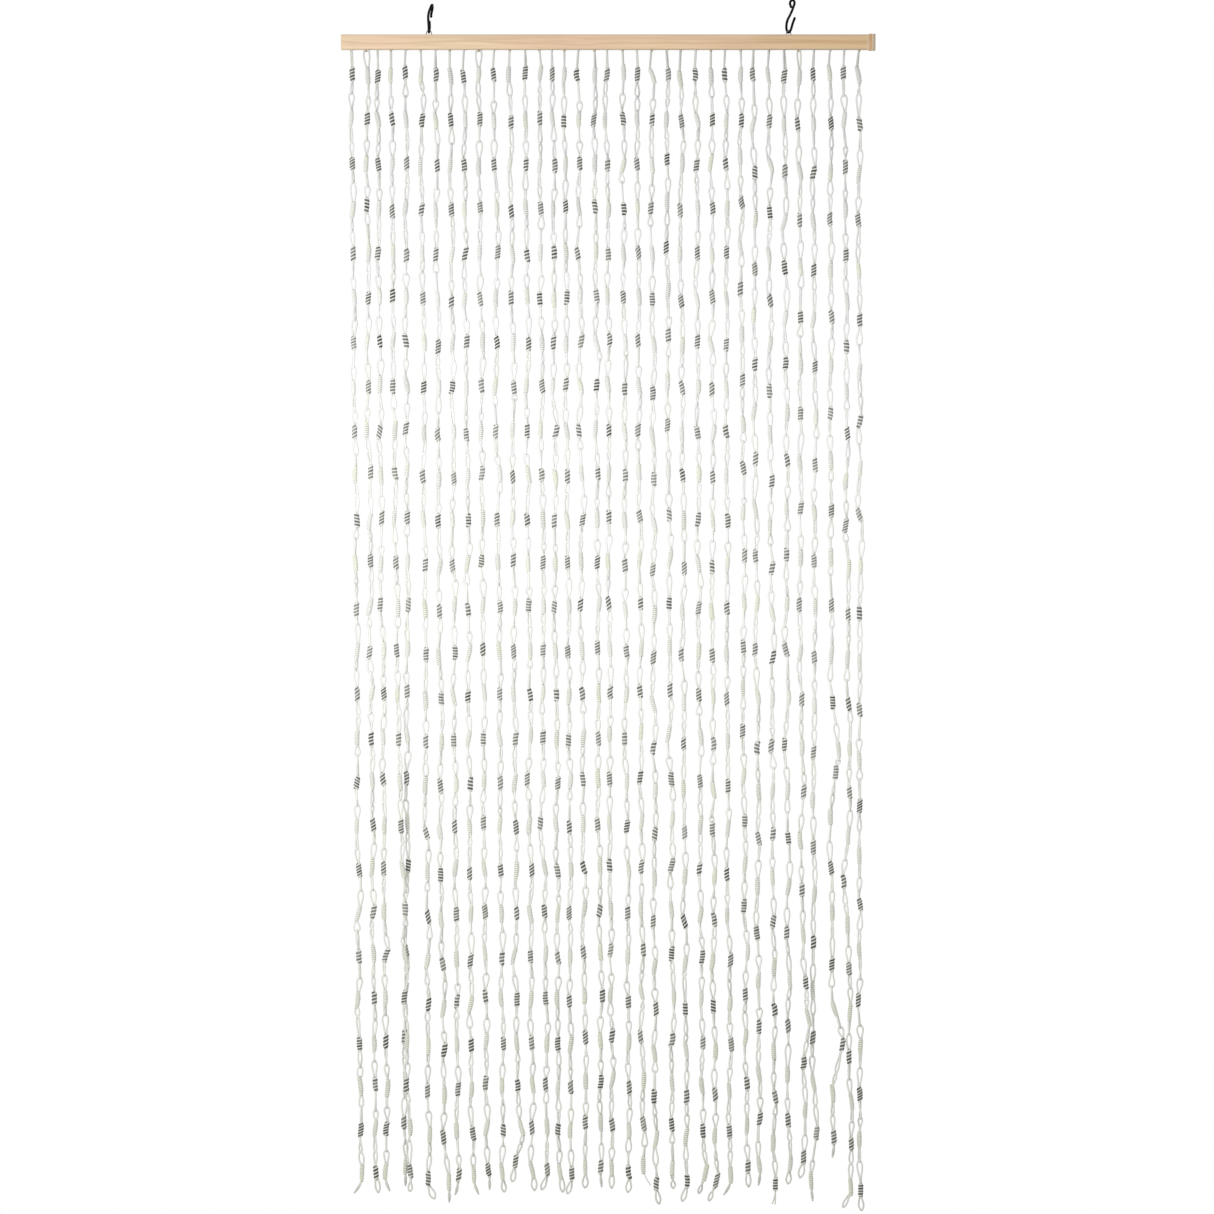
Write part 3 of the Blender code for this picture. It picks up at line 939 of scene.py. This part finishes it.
def add_striped_bead(dark, light, bottom, top, chance):
    """A dark strand and a light one, wound side by side round a bead's middle line."""
    length = STRIPED_LENGTH * chance.uniform(*STRIPED_LENGTHS)
    turns = length * DARK_LENGTH / (STRIPED_PITCH * chance.uniform(*STRIPED_PITCHES))
    bulge = chance.gauss(0.0, STRIPED_BULGE)
    phase = chance.uniform(0.0, 2 * math.pi)
    hand = -1 if chance.random() < OTHER_HAND else 1
    slant = chance.gauss(*STRIPED_SLANT)
    width = chance.uniform(*STRIPED_WIDTHS)
    # Painted light: the dark strands are paler halfway down, where most light falls.
    fade_and_light = FADED + MIDDLE_PAINTED_LIGHT * middle_share((bottom.z + top.z) / 2)
    fade_and_light = min(1.0, max(0.0, chance.gauss(fade_and_light, FADED_SPREAD)))
    starts = [chance.uniform(0.0, 2 * math.pi) for _ in FADED_WAVES]

    def dark_tones(share):
        wave = sum(np.sin(start + turns * rate * share) for start, rate in zip(starts, FADED_WAVES))
        return np.clip(fade_and_light + FADED_WAVE * wave, 0.0, 1.0)

    add_coil(dark, bottom, top, Wind(
        length=length * DARK_LENGTH, turns=turns, phase=phase, hand=hand, slant=slant,
        reach=lambda share: DARK_REACH * width * ends_in(share, depth=0.55, span=0.08),
        thick=lambda share: DARK_THICK * ends_in(share, depth=0.6, span=0.05),
        wide=DARK_FLATNESS, bulge=bulge, steps=TURN_STEPS, sides=LOOP_SIDES), dark_tones)
    tone = chance.uniform(*LIGHT_TONES)
    opposite = phase + math.pi * (1 - turns * (LIGHT_TURNS - 1))
    add_coil(light, bottom, top, Wind(
        length=length * LIGHT_LENGTH, turns=turns * LIGHT_TURNS, phase=opposite, hand=hand, slant=slant,
        reach=lambda share: LIGHT_REACH * width * ends_in(share, depth=0.35, span=0.14),
        thick=lambda share: LIGHT_THICK * ends_in(share, depth=0.6, span=0.08),
        wide=LIGHT_FLATNESS, bulge=bulge, steps=TURN_STEPS, sides=THIN_SIDES), one_tone(tone))


def add_plain_bead(heap, bottom, top, chance):
    """A close coil of one strand, thin at both ends."""
    length = PLAIN_LENGTH * chance.uniform(*PLAIN_LENGTHS)
    skew = chance.uniform(*PLAIN_SKEWS)
    fullness = chance.uniform(*PLAIN_FULLNESS)
    bulge = PLAIN_BULGE * chance.choice((-1, 1)) * chance.uniform(*PLAIN_BULGES)
    width = chance.uniform(*PLAIN_WIDTHS)
    tone = chance.uniform(0.0, 1.0)

    def reach(share):
        swell = np.sin(math.pi * share ** skew) ** fullness
        return width * (PLAIN_END_REACH + (PLAIN_REACH - PLAIN_END_REACH) * swell)

    add_coil(heap, bottom, top, Wind(
        length=length, turns=PLAIN_TURNS, phase=chance.uniform(0.0, 2 * math.pi), hand=1,
        slant=chance.gauss(*PLAIN_SLANT), reach=reach,
        thick=lambda share: PLAIN_THICK * ends_in(share, depth=0.5, span=0.06),
        wide=PLAIN_FLATNESS, bulge=bulge, steps=PLAIN_STEPS, sides=THIN_SIDES), one_tone(tone))


def add_root_knot(heap, root, knot, chance):
    """A few turns of cord round the string where it leaves the batten."""
    middle = Vector((root.x, root.y, BATTEN_BOTTOM - KNOT_BELOW))
    half = Vector((0.0, 0.0, knot.height / 2))
    tone = chance.uniform(*knot.tones)
    add_coil(heap, middle - half, middle + half, Wind(
        length=knot.height, turns=KNOT_TURNS, phase=chance.uniform(0.0, 6.0), hand=1,
        slant=chance.gauss(0.0, KNOT_SLANT),
        reach=lambda share: knot.reach * ends_in(share, depth=0.8, span=0.2),
        thick=lambda share: KNOT_THICK * ends_in(share, depth=0.6, span=0.1),
        wide=1.0, bulge=0.0, steps=KNOT_STEPS, sides=LOOP_SIDES), one_tone(tone))


def add_join(heap, above, below, chance):
    """Where two links meet: the loop of the upper one holds the loop of the lower one."""
    meeting = above.lerp(below, chance.gauss(JOIN_SHARE, JOIN_SPREAD))
    meeting += Vector((chance.gauss(0.0, JOIN_ACROSS), chance.gauss(0.0, JOIN_BACK), 0.0))
    angle = math.radians(chance.choice(JOIN_ANGLES) + chance.gauss(0.0, ANGLE_SPREAD))
    overlap = (below - above).normalized() * CORD / 2
    inside = Vector((0.0, 0.0, LEG_INSIDE))
    # Painted light: the loops are paler halfway down, where most light falls.
    paler = 1 - MIDDLE_PAINTED_LIGHT * middle_share(meeting.z)
    for start, tip, turn in (
        (above + inside, meeting + overlap, angle),
        (below - inside, meeting - overlap, angle + math.pi / 2),
    ):
        width = chance.gauss(LOOP_WIDTH, LOOP_SPREAD)
        twist = chance.gauss(0.0, LOOP_TWIST)
        tone = chance.uniform(*LINK_TONES) * paler
        add_loop(heap, start, tip, turn, twist, width, chance.uniform(*LINK_OPENINGS), tone)


def add_root(heap, number, root, first_bead, chance):
    """The loop that a string hangs by, from the strip down to its first bead."""
    start = first_bead - Vector((0.0, 0.0, LEG_INSIDE))
    width = WIDE_ROOTS.get(number, chance.uniform(*ROOT_WIDTHS))
    facing = chance.gauss(0.0 if number in WIDE_ROOTS else math.pi / 2, ROOT_TURN)
    twist = chance.gauss(0.0, LOOP_TWIST)
    # The root's duller tone is painted shade from its overlapping legs.
    add_loop(heap, start, root, facing, twist, width, ROOT_OPENING, chance.uniform(*ROOT_SHADED_TONES))


def add_end(heap, string, bottom, chance):
    """The lowest end of a string: a hanging loop, or the threads of a loose end."""
    start = bottom + Vector((0.0, 0.0, LEG_INSIDE))
    tip = bottom + Vector((string.swing * MM, 0.0, -TAIL))
    tone = chance.uniform(*END_TONES)
    if string.end == "loop":
        width = LOOP_WIDTH * chance.uniform(*END_WIDTHS)
        twist = chance.gauss(0.0, END_TWIST)
        facing = chance.gauss(0.0, END_TURN)
        add_loop(heap, start, tip, facing, twist, width, chance.uniform(*END_OPENINGS), tone)
        return
    loose = LOOSE_ENDS[string.end]
    for apart in loose.apart:
        points = []
        for step in range(LOOSE_STEPS + 1):
            share = step / LOOSE_STEPS
            if loose.wound:
                across, back = math.cos(LOOSE_WIND * share), math.sin(LOOSE_WIND * share)
            else:
                across, back = share ** 2, 0.0
            across = string.swing * share ** LOOSE_BEND + apart * across
            points.append(start + Vector((across * MM, apart * back * MM, (tip.z - start.z) * share)))
        add_strand(heap, points, CORD * loose.thickness, chance.uniform(*LOOSE_TONES))


def build_strings(label, node, first, last, paints):
    """All that hangs from one strip: loops, dark and light coils, plain beads and root knots."""
    loops, dark, light, plain, knots = (Heap() for _ in range(5))
    for number in range(first, last + 1):
        chance = random.Random(LOOKS_SEED + number)
        ends = bead_ends(number)
        root = Vector((ROOTS[number - 1], 0.0, STRIP_BOTTOM + ROOT_SINK))
        add_root(loops, number, root, ends[0][0], chance)
        add_root_knot(knots, root, BROWN_KNOT if number % 2 == 0 else OLIVE_KNOT, chance)
        for bead, (top, bottom) in enumerate(ends):
            if (bead + number) % 2 == 1:
                add_striped_bead(dark, light, bottom, top, chance)
            else:
                add_plain_bead(plain, bottom, top, chance)
            if bead + 1 < len(ends):
                add_join(loops, bottom, ends[bead + 1][0], chance)
        add_end(loops, STRINGS[number - 1], ends[-1][1], chance)
    strip = build_strip(label, first, last, paints["tape"])
    for heap, name, paint in (
        (loops, "cord_loops", "loops"),
        (dark, "dark_turns", "dark"),
        (light, "light_turns", "light"),
        (plain, "plain_beads", "plain"),
        (knots, "root_knots", "knot"),
    ):
        keep(heap.make(f"{name}_{label}", paints[paint]), "paper_cord", node)
    keep(strip, "paper_cord", node)


def strip_seam(number):
    """Where two strips meet: halfway between a string and the one to its left."""
    return (ROOTS[number - 2] + ROOTS[number - 1]) / 2


def add_box(name, low, high):
    """A cube primitive, sized and placed between two corners."""
    low, high = Vector(low), Vector(high)
    bpy.ops.object.select_all(action="DESELECT")
    bpy.ops.mesh.primitive_cube_add(size=1.0, location=(low + high) / 2)
    item = bpy.context.object
    item.name = name
    item.scale = high - low
    bpy.ops.object.transform_apply(location=True, rotation=True, scale=True)
    return item


def apply_modifier(item, kind, **settings):
    select_only(item)
    modifier = item.modifiers.new(kind.lower(), kind)
    for name, value in settings.items():
        setattr(modifier, name, value)
    bpy.ops.object.modifier_apply(modifier=modifier.name)


def round_edges(item, width, segments):
    """Softens a piece's edges, and shades what they leave."""
    apply_modifier(item, "BEVEL", width=width, segments=segments, limit_method="ANGLE")
    shade(item, BOX_SHARP)


def build_strip(label, first, last, tape):
    """The tape in the batten's groove that holds the strings' roots."""
    left = BATTEN_LEFT + STRIP_INSET if first == 1 else strip_seam(first)
    right = BATTEN_RIGHT - STRIP_INSET if last == len(STRINGS) else strip_seam(last + 1) - GAP
    half = STRIP_WIDTH / 2
    strip = add_box("root_tape_" + label, (left, -half, STRIP_BOTTOM), (right, half, STRIP_TOP))
    round_edges(strip, TAPE_ROUNDING, 2)
    strip.data.materials.append(tape)
    return strip


def build_batten(pine):
    """The planed bar, grooved along its underside, with softened edges."""
    half = BATTEN_DEPTH / 2
    batten = add_box(
        "pine_batten", (BATTEN_LEFT, -half, BATTEN_BOTTOM), (BATTEN_RIGHT, half, BATTEN_TOP))
    cutter = add_box(
        "groove",
        (BATTEN_LEFT - MM, -GROOVE_WIDTH / 2, BATTEN_BOTTOM - MM),
        (BATTEN_RIGHT + MM, GROOVE_WIDTH / 2, BATTEN_BOTTOM + GROOVE_DEPTH),
    )
    apply_modifier(batten, "BOOLEAN", operation="DIFFERENCE", solver="EXACT", object=cutter)
    bpy.data.objects.remove(cutter, do_unlink=True)
    round_edges(batten, BATTEN_ROUNDING, 3)
    batten.data.materials.append(pine)
    keep(batten, "pine", "batten")


def build_block(wood):
    """The block on the right end: softened all round, with a fine line cut round it near its end."""
    low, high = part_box("end_block")
    block = add_box("end_block_pine", low, high)
    for place in (CUT_PLACE - CUT_WIDTH, CUT_PLACE, CUT_PLACE + CUT_WIDTH):
        edit_mesh(block, bpy.ops.mesh.bisect, plane_co=(place, 0.0, 0.0), plane_no=(1.0, 0.0, 0.0))
    edit_mesh(block, bpy.ops.mesh.select_all, action="DESELECT")
    for vertex in block.data.vertices:
        vertex.select = abs(vertex.co.x - CUT_PLACE) < NEAR
    for edge in block.data.edges:
        edge.select = all(block.data.vertices[index].select for index in edge.vertices)
    height, depth = high.z - low.z, high.y - low.y
    bpy.ops.object.mode_set(mode="EDIT")
    bpy.ops.transform.resize(
        value=(1.0, 1 - 2 * CUT_DEPTH / depth, 1 - 2 * CUT_DEPTH / height),
        center_override=(CUT_PLACE, 0.0, (low.z + high.z) / 2),
    )
    bpy.ops.object.mode_set(mode="OBJECT")
    round_edges(block, BLOCK_ROUNDING, 2)
    block.data.materials.append(wood)
    keep(block, "pine", "end_block")


def build_wire(name, points, thickness, material, slot, node):
    """A round wire on a smooth curve through its points, with rounded tips."""
    data = bpy.data.curves.new(name, "CURVE")
    data.dimensions = "3D"
    data.bevel_depth = thickness / 2
    data.bevel_resolution = (WIRE_SIDES - 4) // 2
    data.resolution_u = WIRE_STEPS
    data.use_fill_caps = True
    spline = data.splines.new("BEZIER")
    after_first, before_last = (
        end.lerp(inner, TIP_REACH * thickness / (inner - end).length)
        for end, inner in ((points[0], points[1]), (points[-1], points[-2])))
    route = [points[0], after_first, *points[1:-1], before_last, points[-1]]
    spline.bezier_points.add(len(route) - 1)
    for spot, point in zip(spline.bezier_points, route):
        spot.co = point
        spot.handle_left_type = spot.handle_right_type = "AUTO"
    for end in (0, -1):
        spline.bezier_points[end].radius = TIP_WIDTH
    select_only(add_object(name, data))
    bpy.ops.object.convert(target="MESH")
    wire = bpy.context.object
    edit_mesh(wire, bpy.ops.mesh.remove_doubles, threshold=NEAR)
    turn_faces_out(wire)
    shade(wire, WIRE_SHARP)
    wire.data.materials.clear()
    wire.data.materials.append(material)
    keep(wire, slot, node)


def build_eye(label, steel):
    """A bright staple: two legs in the batten and a crown, half an ellipse."""
    turn = math.radians(EYE_TURN[label])
    place = Vector((HOOK_ACROSS[label], 0.0, BATTEN_TOP))
    outline = [(-EYE_REACH, -EYE_LEG_DEPTH)]
    for step in range(CROWN_STEPS + 1):
        angle = math.pi * (1 - step / CROWN_STEPS)
        outline.append((EYE_REACH * math.cos(angle), EYE_RISE * math.sin(angle)))
    outline.append((EYE_REACH, -EYE_LEG_DEPTH))
    points = [
        place + Vector((across * math.cos(turn), across * math.sin(turn), up)) for across, up in outline]
    build_wire("wire_eye_" + label, points, EYE_WIRE, steel, "bright_wire", "eye_" + label)


def build_hook(label, enamel):
    """An S-shaped hook whose lower bend holds the eye's crown from below."""
    seat = EYE_RISE - EYE_WIRE / 2 - GAP - HOOK_WIRE / 2
    base = Vector((HOOK_ACROSS[label], 0.0, BATTEN_TOP + seat))
    points = [base + Vector(point) * MM for point in HOOK_LINE[label]]
    build_wire("wire_hook_" + label, points, HOOK_WIRE, enamel, "black_wire", "hook_" + label)


def build_floor():
    """A pale round floor, out of the picture under the strings."""
    bpy.ops.object.select_all(action="DESELECT")
    bpy.ops.mesh.primitive_cylinder_add(
        vertices=FLOOR_SIDES, radius=FLOOR_RADIUS, depth=FLOOR_THICKNESS,
        location=(0.0, 0.0, FLOOR_HEIGHT - FLOOR_THICKNESS / 2))
    floor = bpy.context.object
    floor.name = "floor"
    material, tree, shader = new_material("pale_floor", 0.9)
    speck = noise(tree, object_place(tree), 30.0, 2.0)
    add_colour(tree, shader, blend_colours(tree, speck, *FLOOR))
    floor.data.materials.append(material)


def build_surround():
    """A white surround, seen at full strength and lighting the curtain with less."""
    world = bpy.data.worlds.new("white_surround")
    bpy.context.scene.world = world
    world.use_nodes = True
    tree = world.node_tree
    tree.nodes.clear()
    seen = new_node(tree, "LightPath").outputs["Is Camera Ray"]
    strength = remap(tree, seen, 0.0, 1.0, SURROUND_LIGHT, 1.0)
    background = new_node(tree, "Background", Color=(1.0, 1.0, 1.0, 1.0), Strength=strength)
    new_node(tree, "OutputWorld", Surface=background.outputs["Background"])


def add_lights():
    """Soft panels from the left and in front."""
    for name, place, size, power in LIGHTS:
        light = bpy.data.lights.new(name, "AREA")
        light.shape = "RECTANGLE"
        light.size, light.size_y = size
        light.energy = power
        lamp = add_object(name, light)
        lamp.location = place
        lamp.visible_camera = False
        lamp.rotation_euler = (Vector(LIT_POINT) - Vector(place)).to_track_quat("-Z", "Y").to_euler()


def add_camera():
    """The camera, and colours shown as they are."""
    lens = bpy.data.cameras.new("camera")
    lens.sensor_width = SENSOR
    lens.lens = SENSOR * VIEW_DISTANCE / VIEW_WIDTH
    camera = add_object("camera", lens)
    camera.location = Vector(VIEW_MIDDLE) - Vector((0.0, VIEW_DISTANCE, 0.0))
    camera.rotation_euler = (math.radians(90), 0.0, 0.0)
    bpy.context.scene.camera = camera
    bpy.context.scene.view_settings.view_transform = "Standard"


def main():
    build_floor()
    build_surround()
    add_lights()
    add_camera()
    paints = {kind: paper_finish(kind) for kind in PAPERS}
    paints |= {"dark": dark_paper_finish(), "knot": knot_finish(), "tape": tape_finish()}
    build_batten(pine_finish())
    build_block(end_grain_finish())
    steel, enamel = steel_finish(), enamel_finish()
    for label in HOOK_ACROSS:
        build_eye(label, steel)
        build_hook(label, enamel)
    for label, node, first, last in STRIPS:
        build_strings(label, node, first, last, paints)


main()
